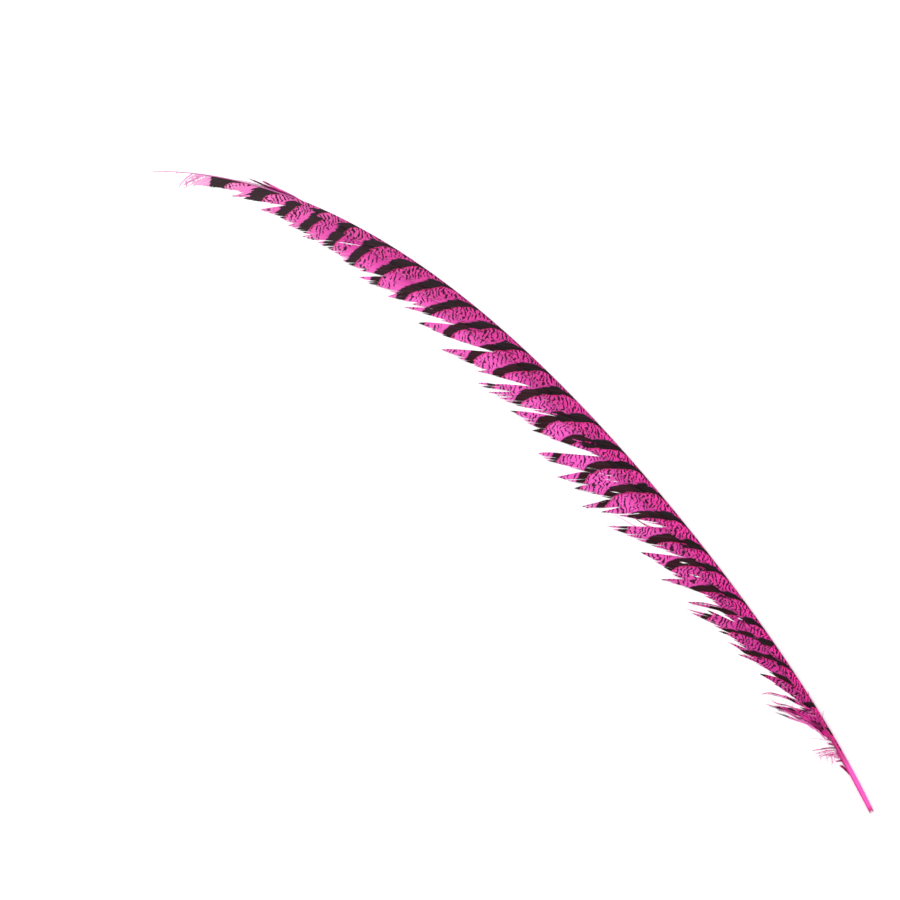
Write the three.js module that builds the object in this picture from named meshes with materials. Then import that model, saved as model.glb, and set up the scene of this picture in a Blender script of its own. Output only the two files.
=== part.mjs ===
// A long, narrow pheasant tail feather lying on its side on a flat surface.
//
// The shaft is one tapering, gently bent horn rod with a hollow cut end. The two vanes are
// folded against each other like a nearly closed book: the far vane lies flat on the surface,
// the near vane slopes down over it, and both point to the hollow side of the bend. Splits
// part each vane into pointed lobes. A wisp of down is left where the far vane starts.
//
// Feather coordinates: "along" is the length along the outer edge of the shaft, from the cut
// end (0) to the tip; "out" is the distance from that edge towards the hollow side.
// Millimetres, +Z up, the surface is z = 0.

import * as THREE from "three";

// Driving dimensions, mm
const LENGTH = 803;                            // along the shaft
const CUT_END = [288.3, -255.3];               // x, y of the cut end, from the middle of the box
const HEADING = [115.6, 63.5, -110.3, 112.0];  // degrees: cubic in along / LENGTH
const SHAFT_TIP = 0.5;                         // thickness at the tip
const SHAFT_GROWTH = 3.75;                     // added thickness at the cut end
const SHAFT_TAPER = 0.9;                       // power of the taper
const END_PINCH = 0.6;                         // the cut end is thinner by this much
const END_PINCH_REACH = 14;
const BORE = 0.7;                              // hollow of the cut end, as a share of the width
const BORE_DEPTH = 14;
const NOTCH = 2.0;                             // depth of the V cut in the end
const SHAFT_SIDES = 12;
const SHAFT_STEPS = 90;
const VANE_GAP = 0.3;                          // clearance between the pieces
const FAR_THICKNESS = 0.6;
const NEAR_THICKNESS = 0.5;
const NEAR_ROOT_HEIGHT = 0.5;                  // as a share of the shaft's thickness
const VANE_START_STEP = 12;                    // spacing of points along the shaft
const MARGIN_STEPS = 3;                        // pieces in each lobe's curved margin

// Lobes of the vanes, from the tip to the cut end. Each row: the lobe's point (along, out),
// the foot of the split on its tip side (along, out), and how far its margin bulges or, below
// zero, how hollow it is.
const FAR_LOBES = [
  [781.5, 12.6, 772, 4.2, -1],
  [771, 9.4, 769, 8, 0.3],
  [735, 12.9, 727.5, 8.4, -0.3],
  [727.5, 12.6, 719.5, 9.3, 1],
  [711, 18.4, 693.5, 9.5, 1],
  [684.6, 22.6, 683.5, 20.8, -1],
  [669.3, 26, 668, 24, -0.8],
  [630, 28.6, 629.5, 27.8, 2.4],
  [610.4, 34.8, 593.2, 24.7, 1.8],
  [582, 34.8, 574.3, 28.6, 0.4],
  [565, 35.4, 545.7, 24.1, 0.2],
  [547, 38, 519.3, 21.3, 3.4],
  [517.9, 44, 481, 17.8, 0.2],
  [485.4, 39.2, 476.5, 34, 0.4],
  [475.4, 44.4, 440, 17.8, 5],
  [440, 42.8, 410.7, 22.1, 1.1],
  [416, 42, 410, 36.2, 1.2],
  [398.6, 51, 360, 16.6, 2.8],
  [373.6, 53, 360.7, 34.9, 1.2],
  [357, 49, 350.7, 39.6, 0.5],
  [341, 54, 329.6, 33.4, 0.6],
  [315, 49.4, 279, 10.3, 0.3],
  [280.7, 42, 257.9, 20.3, -0.9],
  [253.6, 43.6, 243.6, 31.7, -3.8],
  [227.9, 36.4, 207, 19.4, 2.4],
  [206, 21.6, 203.5, 19.6, -0.3],
  [209.8, 27.8, 188.5, 16.4, 0.3],
  [220.7, 41.2, 203, 26.8, 0.6],
  [191.4, 31, 187, 27, -0.4],
  [180, 30.2, 164.3, 20.6, -1],
  [166.4, 29.4, 161, 24.5, -1.4],
  [143.6, 23.8, 132, 14, 0.3],
  [118.5, 16.8, 103.5, 8, -1],
  [115, 27.6, 97, 9.6, -1.2],
];
const FAR_END = [66, 5.4];

const NEAR_LOBES = [
  [668, 6.0, 690, 1.6, 0.5],
  [647, 9.5, 636, 6.5, 1],
  [622, 12.0, 608, 8.5, 1],
  [594, 14.5, 579, 10.0, 1.5],
  [570, 18.0, 553, 11.5, 1.5],
  [543, 19.5, 525, 12.5, 1.5],
  [517, 20.5, 499, 12.5, 1.5],
  [490, 18.0, 471, 10.5, 1.5],
  [461, 15.0, 446, 9.0, 1.5],
  [437, 17.0, 424, 11.0, 1],
  [416, 22.0, 397, 12.0, 1.5],
  [388, 24.0, 368, 12.0, 1.5],
  [357, 15.0, 342, 8.5, 1.5],
  [328, 14.0, 314, 8.5, 1.5],
  [302, 17.0, 284, 9.0, 1.5],
  [268, 13.0, 254, 8.0, 1.5],
  [243, 13.5, 228, 8.0, 1.5],
  [216, 13.0, 202, 8.0, 1.5],
  [188, 11.5, 174, 7.0, 1.5],
  [160, 7.5, 146, 5.6, 0.6],
  [134, 6.4, 122, 5.4, 0.4],
  [110, 6.4, 104, 5.2, 0.3],
];
const NEAR_END = [92, 4.8];

const DOWN_SPAN = [44, 66];                    // along the shaft
const DOWN_REACH = 20;                         // out from the shaft's edge
const DOWN_SWEEP = 6;                          // how far the wisp leans to the tip
const DOWN_HEIGHT = 3;

// Colours of the dyed feather
const HORN = new THREE.MeshStandardMaterial({ color: 0xf0309f, roughness: 0.35, metalness: 0 });
const WEB = new THREE.MeshStandardMaterial({ color: 0xe83fb0, roughness: 0.7, metalness: 0 });
const WEB_BELOW = new THREE.MeshStandardMaterial({ color: 0xf85ac4, roughness: 0.7, metalness: 0 });
const DOWN = new THREE.MeshStandardMaterial({ color: 0xd85aa8, roughness: 0.9, metalness: 0 });

const RADIANS = Math.PI / 180;

/** Heading of the shaft's outer edge at a length along it, in radians. */
function headingAt(along) {
  const u = along / LENGTH;
  return RADIANS * HEADING.reduce((sum, factor, power) => sum + factor * u ** power, 0);
}

/** Points of the outer edge every millimetre, walked from the cut end with the heading. */
const EDGE = [new THREE.Vector2(...CUT_END)];
for (let along = 0; along < LENGTH; along += 1) {
  const heading = headingAt(along + 0.5);
  EDGE.push(EDGE[along].clone().add(new THREE.Vector2(Math.cos(heading), Math.sin(heading))));
}

/** Feather coordinates to x, y: along the edge, then out at right angles to it. */
function place(along, out) {
  const whole = Math.min(Math.floor(along), LENGTH - 1);
  const foot = EDGE[whole].clone().lerp(EDGE[whole + 1], along - whole);
  const heading = headingAt(along);
  return foot.add(new THREE.Vector2(-Math.sin(heading), Math.cos(heading)).multiplyScalar(out));
}

/** Thickness of the shaft: a power taper to the tip, a little pinched at the cut end. */
function thicknessAt(along) {
  const taper = SHAFT_TIP + SHAFT_GROWTH * (1 - along / LENGTH) ** SHAFT_TAPER;
  return taper - END_PINCH * Math.exp(-((along / END_PINCH_REACH) ** 2));
}

/** A mesh from a list of points and triangles of their numbers. */
function meshOf(name, points, triangles, material) {
  const geometry = new THREE.BufferGeometry().setFromPoints(points);
  geometry.setIndex(triangles.flat());
  geometry.computeVertexNormals();
  const mesh = new THREE.Mesh(geometry, material);
  mesh.name = name;
  return mesh;
}

/** One ring of the shaft, lying on the surface: share scales it about its middle. */
function ring(along, share, cutBack) {
  const width = thicknessAt(along);
  const points = [];
  for (let side = 0; side < SHAFT_SIDES; side += 1) {
    const angle = ((side + 0.5) * 2 * Math.PI) / SHAFT_SIDES;
    const back = cutBack * Math.sin(angle) ** 2;
    const radius = (width / 2) * share;
    const corner = place(along + back, width / 2 + radius * Math.cos(angle));
    const flat = Math.cos(Math.PI / SHAFT_SIDES);
    const height = (width / 2) * flat + radius * Math.sin(angle);
    points.push(new THREE.Vector3(corner.x, corner.y, height));
  }
  return points;
}

/** The shaft: rings up the inside of the bore, over the cut rim and on to the tip. */
function shaft() {
  const rings = [];
  for (const depth of [1, 0.5]) {
    rings.push(ring(BORE_DEPTH * depth, BORE, 0));
  }
  rings.push(ring(0, BORE, NOTCH));
  rings.push(ring(0, 1, NOTCH));
  for (let step = 1; step <= SHAFT_STEPS; step += 1) {
    rings.push(ring((LENGTH * step) / SHAFT_STEPS, 1, 0));
  }
  const points = rings.flat();
  const triangles = [];
  for (let row = 0; row + 1 < rings.length; row += 1) {
    for (let side = 0; side < SHAFT_SIDES; side += 1) {
      const next = (side + 1) % SHAFT_SIDES;
      const a = row * SHAFT_SIDES + side;
      const b = row * SHAFT_SIDES + next;
      triangles.push([a, b + SHAFT_SIDES, a + SHAFT_SIDES], [a, b, b + SHAFT_SIDES]);
    }
  }
  const last = points.length - SHAFT_SIDES;
  for (let side = 1; side + 1 < SHAFT_SIDES; side += 1) {
    triangles.push([0, side + 1, side]);
    triangles.push([last, last + side, last + side + 1]);
  }
  return meshOf("shaft", points, triangles, HORN);
}

/**
 * Margin of a vane, tip to cut end: in to each split, out to each point, and back in a bow of
 * bulge * 5.38 v (1 - v)^1.5, fullest towards the point, or hollow towards the foot.
 */
function margin(lobes, end) {
  const outline = [];
  lobes.forEach(([pointAlong, pointOut, splitAlong, splitOut, bulge], lobe) => {
    const next = lobe + 1 < lobes.length ? lobes[lobe + 1].slice(2, 4) : end;
    outline.push([splitAlong, splitOut], [pointAlong, pointOut]);
    for (let step = 1; step < MARGIN_STEPS; step += 1) {
      const v = step / MARGIN_STEPS;
      const [before, beyond] = bulge > 0 ? [v, 1 - v] : [1 - v, v];
      const bow = bulge * 5.38 * before * beyond ** 1.5;
      outline.push([
        pointAlong + (next[0] - pointAlong) * v,
        pointOut + (next[1] - pointOut) * v + bow,
      ]);
    }
  });
  outline.push(end);
  return outline;
}

/** A vane: the area between the shaft and the margin as a plate whose foot height is given. */
function vane(name, lobes, end, thickness, rootHeight, marginHeight, material) {
  const outline = margin(lobes, end).map(([along, out]) => {
    const corner = place(along, out);
    return new THREE.Vector3(corner.x, corner.y, marginHeight);
  });
  for (let along = end[0]; along < lobes[0][2]; along += VANE_START_STEP) {
    const corner = place(along, thicknessAt(along) + VANE_GAP);
    outline.push(new THREE.Vector3(corner.x, corner.y, Math.max(rootHeight(along), marginHeight)));
  }
  const count = outline.length;
  const flat = outline.map((corner) => new THREE.Vector2(corner.x, corner.y));
  const turn = THREE.ShapeUtils.isClockWise(flat) ? -1 : 1;
  const rise = new THREE.Vector3(0, 0, thickness);
  const points = [...outline, ...outline.map((corner) => corner.clone().add(rise))];
  const triangles = [];
  for (const [a, b, c] of THREE.ShapeUtils.triangulateShape(flat, [])) {
    const face = turn > 0 ? [a, b, c] : [a, c, b];
    triangles.push(face.map((corner) => corner + count), face.toReversed());
  }
  for (let here = 0; here < count; here += 1) {
    const next = (here + 1) % count;
    const [a, b] = turn > 0 ? [here, next] : [next, here];
    triangles.push([a, b, b + count], [a, b + count, a + count]);
  }
  return meshOf(name, points, triangles, material);
}

/** The wisp of down: a low wedge from the shaft's side out to where its longest barbs end. */
function down() {
  const outline = new THREE.Shape();
  const [first, last] = DOWN_SPAN;
  const corners = [
    [first, thicknessAt(first) + VANE_GAP],
    [first + DOWN_SWEEP / 2, DOWN_REACH / 2],
    [last - DOWN_SWEEP, DOWN_REACH],
    [last, DOWN_REACH],
    [last - VANE_GAP, thicknessAt(last) + VANE_GAP],
  ];
  outline.setFromPoints(corners.map(([along, out]) => place(along, out)));
  const geometry = new THREE.ExtrudeGeometry(outline, { depth: DOWN_HEIGHT, bevelEnabled: false });
  const mesh = new THREE.Mesh(geometry, DOWN);
  mesh.name = "down";
  return mesh;
}

const feather = new THREE.Group();
feather.add(shaft());
feather.add(vane("far_vane", FAR_LOBES, FAR_END, FAR_THICKNESS, () => 0, 0, WEB_BELOW));
feather.add(vane(
  "near_vane",
  NEAR_LOBES,
  NEAR_END,
  NEAR_THICKNESS,
  (along) => NEAR_ROOT_HEIGHT * thicknessAt(along),
  FAR_THICKNESS + VANE_GAP,
  WEB,
));
feather.add(down());

export default feather;
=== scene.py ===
"""Looks of a long, narrow pheasant tail feather, dyed hot pink, lying on its side.

Feather coordinates are used all through: "along" is the length along the outer edge of the
shaft from the cut end, "out" is the distance from that edge towards the hollow side of the
bend, both in millimetres. Heights are millimetres over the surface that the feather lies on.

Every barb is a thin closed blade carried along its own curve. The barbs of a vane are laid out
lobe by lobe, and three attributes give the finish its place on each barb: where it is between
the cross bars, where it is in the fine wavy grain, and where it is on the barb.
"""

import math

import bpy
import numpy as np
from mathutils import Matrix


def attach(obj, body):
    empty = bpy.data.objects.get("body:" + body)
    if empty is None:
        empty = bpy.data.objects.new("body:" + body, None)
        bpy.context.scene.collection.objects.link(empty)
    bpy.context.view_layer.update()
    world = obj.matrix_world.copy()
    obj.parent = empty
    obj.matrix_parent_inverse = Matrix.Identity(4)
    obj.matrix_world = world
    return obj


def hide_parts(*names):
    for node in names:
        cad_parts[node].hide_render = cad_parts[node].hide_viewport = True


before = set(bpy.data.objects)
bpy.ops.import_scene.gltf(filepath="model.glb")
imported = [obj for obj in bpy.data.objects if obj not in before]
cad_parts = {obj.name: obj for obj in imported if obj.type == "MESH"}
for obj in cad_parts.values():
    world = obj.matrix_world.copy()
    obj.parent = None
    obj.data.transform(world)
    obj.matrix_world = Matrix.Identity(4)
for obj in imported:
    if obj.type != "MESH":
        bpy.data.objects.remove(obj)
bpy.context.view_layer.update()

MM = 0.001
DRAWS = np.random.default_rng(1187)

# The shaft, the same numbers as the CAD model's
LENGTH = 803
CUT_END = (288.3, -255.3)
HEADING = (115.6, 63.5, -110.3, 112.0)
SHAFT_TIP = 0.5
SHAFT_GROWTH = 3.75
SHAFT_TAPER = 0.9
END_PINCH = 0.6
END_PINCH_REACH = 14.0
BORE = 0.72
BORE_DEPTH = 14.0
NOTCH = 2.0
NOTCH_FADE = 3.0

# Angle between the barbs and the shaft, degrees, at places along it
BARB_ANGLE_AT = (0, 60, 105, 150, 200, 250, 300, 350, 400, 450, 520, 560, 650, 725, 755, 803)
BARB_ANGLE = (70, 58, 33, 29, 37, 45, 39, 40, 40, 36, 31, 24, 20, 19, 38, 45)

# Lobes of the far vane and the near one, from the tip to the cut end: the lobe's point (along,
# out), the foot of the split on its tip side (along, out), the bow of its margin, and how deep
# its barbs part into strands.
FAR_LOBES = (
    (781.5, 12.6, 772, 4.2, -1, 0.75), (771, 9.4, 769, 8, 0.3, 0.05),
    (735, 12.9, 727.5, 8.4, -0.3, 0.15), (727.5, 12.6, 719.5, 9.3, 1, 0.1),
    (711, 18, 691.8, 8.8, -0.8, 0.14), (684.6, 22.6, 683.5, 20.8, -1, 0.12),
    (669.3, 26, 668, 24, -0.8, 0.12), (630, 28.6, 629.5, 27.8, 2.4, 0.12),
    (610.4, 34.8, 593.2, 24.7, 1.8, 0.16), (582, 34.8, 574.3, 28.6, 0.4, 0.16),
    (565, 35.4, 545.7, 24.1, 0.2, 0.18), (547, 38, 519.3, 21.3, 3.4, 0.1),
    (517.9, 44, 481, 17.8, 0.2, 0.1), (485.4, 39.2, 476.5, 34, 0.4, 0.16),
    (475.4, 44.4, 440, 17.8, 5, 0.4), (440, 42.8, 410.7, 22.1, 1.1, 0.2),
    (416, 42, 410, 36.2, 1.2, 0.14), (398.6, 51, 360, 16.6, 2.8, 0.22),
    (373.6, 53, 360.7, 34.9, 1.2, 0.24), (357, 49, 350.7, 39.6, 0.5, 0.2),
    (341, 54, 329.6, 33.4, 0.6, 0.35), (315, 49.4, 279, 10.3, 0.3, 0.3),
    (280.7, 42, 257.9, 20.3, -0.9, 0.18), (253.6, 43.6, 243.6, 31.7, -3.8, 0.2),
    (227.9, 36.4, 207, 19.4, 2.4, 0.3), (206, 21.6, 203.5, 19.6, -0.3, 0.2),
    (209.8, 27.8, 188.5, 16.4, 0.3, 0.2), (220.7, 41.2, 203, 26.8, 0.6, 0.35),
    (191.4, 31, 187, 27, -0.4, 0.3), (180, 30.2, 164.3, 20.6, -1, 0.3),
    (166.4, 29.4, 161, 24.5, -1.4, 0.3), (143.6, 23.8, 132, 14, 0.3, 0.1),
    (118.5, 16.8, 103.5, 8, -1, 0.7), (115, 27.6, 97, 9.6, -1.2, 0.4),
)
FAR_END = (66, 5.4)

NEAR_LOBES = (
    (690, 1.6, 687, 0.8, 0.3, 0.2), (668, 6, 664, 4.6, 1, 0.2),
    (647, 9.5, 636, 6.5, 1, 0.2), (622, 12, 608, 8.5, 1, 0.2),
    (594, 14.5, 579, 10, 1.5, 0.2), (570, 18, 553, 11.5, 1.5, 0.2),
    (543, 19.5, 525, 12.5, 1.5, 0.2), (517, 20.5, 499, 12.5, 1.5, 0.2),
    (490, 18, 471, 10.5, 1.5, 0.2), (461, 15, 446, 9, 1.5, 0.2),
    (437, 17, 424, 11, 1, 0.2), (416, 22, 397, 12, 1.5, 0.2),
    (388, 24, 368, 12, 1.5, 0.2), (357, 15, 342, 8.5, 1.5, 0.2),
    (328, 14, 314, 8.5, 1.5, 0.2), (302, 17, 284, 9, 1.5, 0.2),
    (268, 13, 254, 8, 1.5, 0.2), (243, 13.5, 228, 8, 1.5, 0.2),
    (216, 13, 202, 8, 1.5, 0.2), (188, 11.5, 174, 7, 1.5, 0.2),
    (160, 7.5, 146, 5.6, 0.6, 0.2), (134, 6.4, 122, 5.2, 0.4, 0.2),
    (110, 6, 104, 5.2, 0.2, 0.3), (102, 6.4, 99, 4.6, -0.3, 0.3),
    (95.5, 3.6, 94.5, 2.9, -0.2, 0.4), (88, 2.8, 87, 2.2, 0.2, 0.5),
    (79, 2.6, 78, 2, 0.2, 0.5), (70, 2.1, 69, 1.7, 0.2, 0.5),
)
NEAR_END = (56, 1)

# Closed slits inside the far vane: outer end (along, out), inner end, and width
SLITS = (
    (641.4, 18.9, 622.1, 12.4, 0.55), (575, 28, 568, 31, 0.5),
    (505.7, 19.9, 500, 17, 0.4), (426, 18.1, 422.9, 14.6, 0.45),
    (361.4, 30.6, 353.6, 24.9, 0.6), (353.6, 27.7, 337, 16.3, 0.38),
    (346.4, 27, 334.3, 18.4, 0.55), (336.4, 29.9, 326.4, 23.4, 0.55),
    (312, 27, 304.3, 22.7, 0.7), (253.6, 21, 247, 18.1, 0.9),
    (240.7, 21.7, 233.6, 16.7, 0.7), (209, 12.4, 206, 10.3, 0.6),
    (190, 12.4, 185.7, 9.9, 0.7), (133, 14.4, 119.5, 11.9, 0.7),
    (115, 9.5, 110.7, 9.1, 0.6),
)

# Gaps between the fingers of a lobe, open at the margin: outer end, inner end, and width
FINGER_GAPS = (
    (779, 9.4, 771, 3, 1), (774, 7.9, 763.5, 1, 1.4),
    (768, 5.8, 758.5, 0.6, 1), (684, 21.6, 676, 18.4, 0.45),
    (668.6, 24.8, 657.5, 19.6, 0.55), (629.8, 28.2, 622.5, 25.6, 0.5),
    (485.7, 37.6, 474.3, 31.9, 0.7), (464.3, 43.3, 450, 31.9, 1.2),
    (455.7, 43.3, 444.3, 32.9, 1), (467.9, 40.4, 462, 34.7, 0.5),
    (392, 49.7, 382, 41, 0.7), (338, 52.6, 334, 44, 0.7),
    (333, 51, 329, 43, 0.9),
)
SLIT_REACH = 2.6  # how far beside a slit the barbs give way

# Cross bars: places along the shaft where each bar has its basal edge, 30 mm out
FAR_BARS = (
    82, 103, 141, 160, 181, 203.5, 226.5, 252, 278, 302.5, 329.5, 355, 384.5, 408.5, 436, 463.5,
    489, 517.5, 542, 567.5, 596, 620.5, 645, 670, 693.5, 720.5, 743.5,
)
NEAR_BARS = (
    61, 79, 103, 156, 175.5, 197, 222, 249, 272.5, 302, 330.5, 355, 377.5, 406, 436.5, 464,
    489, 515, 542, 568, 597, 621, 648, 675,
)
BAR_PITCH = 26.0  # bar numbers are turned back to millimetres with this
HUG_AT = (0, 1, 3, 5, 8, 12, 16, 20, 25, 30, 40, 50)
HUG = (33, 28, 22, 19, 16, 12, 8, 4.5, 1.5, 0, 1.5, 3)  # how far a bar runs down the shaft
THICKNESS_AT = (0, 1, 3, 5, 8, 12, 30, 40, 50)
BAR_THICKNESS = (7.0, 7.8, 9.8, 10.5, 10.2, 9.0, 7.9, 6.4, 5.5)  # along the shaft
LAST_BAR_THICKNESS = 13.3
FAR_OFF = (-400, 1200)  # places well past both ends of the feather


# ---- feather coordinates


def heading_at(along):
    """Heading of the shaft's outer edge in radians: a cubic in along / LENGTH."""
    u = along / LENGTH
    return np.radians(sum(factor * u**power for power, factor in enumerate(HEADING)))


def walk_edge():
    """The outer edge: the cut end plus the running sum of 1 mm steps along the heading."""
    heading = heading_at(np.arange(LENGTH) + 0.5)
    steps = np.stack([np.cos(heading), np.sin(heading)], axis=1)
    return np.concatenate([[CUT_END], CUT_END + np.cumsum(steps, axis=0)])


EDGE = walk_edge()


def place(along, out, height):
    """Feather coordinates to metres: the edge point, plus out at right angles to the heading."""
    whole = np.clip(np.floor(along), 0, LENGTH - 1).astype(int)
    share = (along - whole)[..., None]
    foot = EDGE[whole] + (EDGE[whole + 1] - EDGE[whole]) * share
    heading = heading_at(np.clip(along, 0, LENGTH))
    x = foot[..., 0] - np.sin(heading) * out
    y = foot[..., 1] + np.cos(heading) * out
    return np.stack([x, y, height + 0 * x], axis=-1) * MM


def thickness_at(along):
    """Thickness of the shaft: a power taper to the tip, a little pinched at the cut end."""
    left = np.clip(1 - along / LENGTH, 0, 1)
    taper = SHAFT_TIP + SHAFT_GROWTH * left**SHAFT_TAPER
    return taper - END_PINCH * np.exp(-((along / END_PINCH_REACH) ** 2))


def shaft_top(along, out):
    """Height of the round shaft's upper side over a place, zero beside the shaft."""
    radius = thickness_at(along) / 2
    across = (out - radius) / radius
    return np.where(np.abs(across) < 1, radius + radius * np.sqrt(np.clip(1 - across**2, 0, 1)), 0)


def angle_at(along):
    """Angle of the barbs to the shaft, in radians."""
    return np.radians(np.interp(along, BARB_ANGLE_AT, BARB_ANGLE))


def ease(low, high, value):
    """Zero below low, one above high, and a smooth S between them."""
    share = np.clip((value - low) / (high - low), 0, 1)
    return share * share * (3 - 2 * share)


def window(begin, end, value):
    """Goes from zero to one between the two values of begin, and back between those of end."""
    return ease(*begin, value) * ease(end[1], end[0], value)


# ---- meshes


def add_object(name, data):
    """A new object that shows a mesh, lamp or camera."""
    added = bpy.data.objects.new(name, data)
    bpy.context.scene.collection.objects.link(added)
    return added


def new_piece(name, points, faces, attributes, material, slot, *stands_for):
    """A closed mesh in metres, with its attributes, finish, body and CAD nodes. slot is not used."""
    mesh = bpy.data.meshes.new(name)
    mesh.from_pydata(points.reshape(-1, 3), [], faces)
    for title, values in attributes.items():
        layer = mesh.attributes.new(title, "FLOAT_VECTOR", "POINT")
        layer.data.foreach_set("vector", values.astype(np.float32).ravel())
    mesh.polygons.foreach_set("use_smooth", np.ones(len(mesh.polygons), bool))
    mesh.materials.append(material)
    mesh.validate()
    mesh.update()
    piece = add_object(name, mesh)
    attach(piece, "root")
    if stands_for:
        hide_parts(*stands_for)


def blades(paths, widths, depths):
    """Closed blades: a flat diamond of the given width and depth, carried along each path.

    paths is (blades, rings, 3) in metres, widths and depths are (blades, rings) in millimetres.
    The diamond's long axis is level and square to the path. Returns points and faces.
    """
    tangent = np.gradient(paths, axis=1)
    tangent /= np.linalg.norm(tangent, axis=-1, keepdims=True) + 1e-12
    side = np.cross((0, 0, 1), tangent)
    side /= np.linalg.norm(side, axis=-1, keepdims=True) + 1e-12
    rise = np.cross(tangent, side)
    half_wide = side * widths[..., None] * MM / 2
    half_deep = rise * depths[..., None] * MM / 2
    corners = [paths - half_wide, paths - half_deep, paths + half_wide, paths + half_deep]
    points = np.stack(corners, axis=2)
    count, rings = paths.shape[:2]
    first = np.arange(count)[:, None, None] * rings * 4 + np.arange(rings - 1)[:, None] * 4
    here = first + np.arange(4)
    after = first + (np.arange(4) + 1) % 4
    sides = np.stack([here, here + 4, after + 4, after], axis=-1).reshape(-1, 4)
    base = np.arange(count)[:, None] * rings * 4
    root_cap = base + np.arange(4)
    tip_cap = base + (rings - 1) * 4 + np.array([3, 2, 1, 0])
    return points, np.concatenate([sides, root_cap, tip_cap])[:, ::-1]


GUIDE_RINGS = 60


def smooth_line(places):
    """A smooth line by a few places, given as one run of numbers (along, out, along, out ...).

    It is made of straight runs, evened out four times with its ends kept.
    """
    places = np.reshape(places, (-1, 2))
    steps = np.linalg.norm(np.diff(places, axis=0), axis=1)
    reached = np.concatenate([[0], np.cumsum(steps)])
    wanted = np.linspace(0, reached[-1], GUIDE_RINGS)
    line = np.stack([np.interp(wanted, reached, places[:, axis]) for axis in (0, 1)], axis=-1)
    for _ in range(4):
        line[1:-1] = (line[:-2] + 2 * line[1:-1] + line[2:]) / 4
    return line


def at_shares(line, shares):
    """The points of an evenly spaced line at the given shares of its length."""
    even = np.linspace(0, 1, len(line))
    return np.stack([np.interp(shares, even, line[:, axis]) for axis in (0, 1)], axis=-1)


def across_lines(lines):
    """Unit vectors at right angles to each line, to the left of its run."""
    step = np.gradient(lines, axis=1)
    step /= np.linalg.norm(step, axis=-1, keepdims=True) + 1e-9
    return np.stack([-step[..., 1], step[..., 0]], axis=-1)


def over_corners(values):
    """Repeats the values of each ring for its four corners."""
    return np.repeat(values[:, :, None], 4, axis=2)


# ---- laying out the barbs


HANDLE_SHARE = 0.36  # a handle's share of the distance from start to end


def curve(start, start_angle, end, end_angle, share):
    """Cubic Bezier in (along, out) from start to end, leaving and arriving at given angles."""
    reach = np.linalg.norm(end - start, axis=-1)[:, None] * HANDLE_SHARE
    leave = np.stack([np.cos(start_angle), np.sin(start_angle)], axis=-1)
    arrive = np.stack([np.cos(end_angle), np.sin(end_angle)], axis=-1)
    first = start + leave * reach
    second = end - arrive * reach
    t = share[..., None]
    rest = 1 - t
    return (
        start[:, None] * rest**3
        + 3 * first[:, None] * rest**2 * t
        + 3 * second[:, None] * rest * t**2
        + end[:, None] * t**3
    )


def angle_between(from_along, from_out, to_along, to_out):
    """Angle of the line between two places, in radians."""
    return np.arctan2(to_out - from_out, to_along - from_along)


def clumps(count, smallest, largest):
    """Splits a row of barbs into clumps: each barb's clump number and place in it, -1 to 1."""
    sizes = DRAWS.integers(smallest, largest, count)
    number = np.repeat(np.arange(count), sizes)[:count]
    start = np.searchsorted(number, number, "left")
    end = np.searchsorted(number, number, "right")
    middle = (start + end - 1) / 2
    return number, (np.arange(count) - middle) / np.maximum((end - start) / 2, 1)


def draw_strands(count, fray):
    """Random traits of a lobe's barbs, most of them alike within a strand of 4 to 11 barbs.

    A barb reaches longer millimetres past the margin, its strand ends aside millimetres beside
    its place, and the strand is loose from the others for the last part, deep, of its length.
    bar_shift moves its bars by some millimetres. lift and chance go from 0 to 1.
    """
    number, within = clumps(count, 4, 12)
    size = number.max() + 1
    ragged = min(1, 0.4 + 2.4 * fray)
    longer = DRAWS.normal(0, 0.9, size)
    longer[0] = 0.4
    return {
        "within": within,
        "strand_size": count / size,
        "longer": ragged * (longer[number] + DRAWS.normal(0, 0.35, count)),
        "aside": DRAWS.normal(0, 0.35, size)[number],
        "lift": DRAWS.uniform(0, 1, size)[number],
        "deep": np.clip(fray * DRAWS.uniform(0.4, 1.7, size)[number], 0.04, 0.9),
        "chance": DRAWS.uniform(0, 1, count),
        "bar_shift": DRAWS.normal(0, 0.4) + DRAWS.normal(0, 0.35, size)[number]
        + DRAWS.normal(0, 0.13, count),
    }


ROOT_SPACING = 0.6  # most room between the roots of neighbouring barbs
FAN_SPACING = 0.42  # and between their ends
BOW_SCALE = 5.38  # makes the fullest place of u (1-u)^1.5 one
FIRST_ROOT_SHARE = 0.1  # of the barbs nearest to the cut end
ROOTS_MOVE = (90, 116)  # between these places the roots move to the vane's own root share


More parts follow.
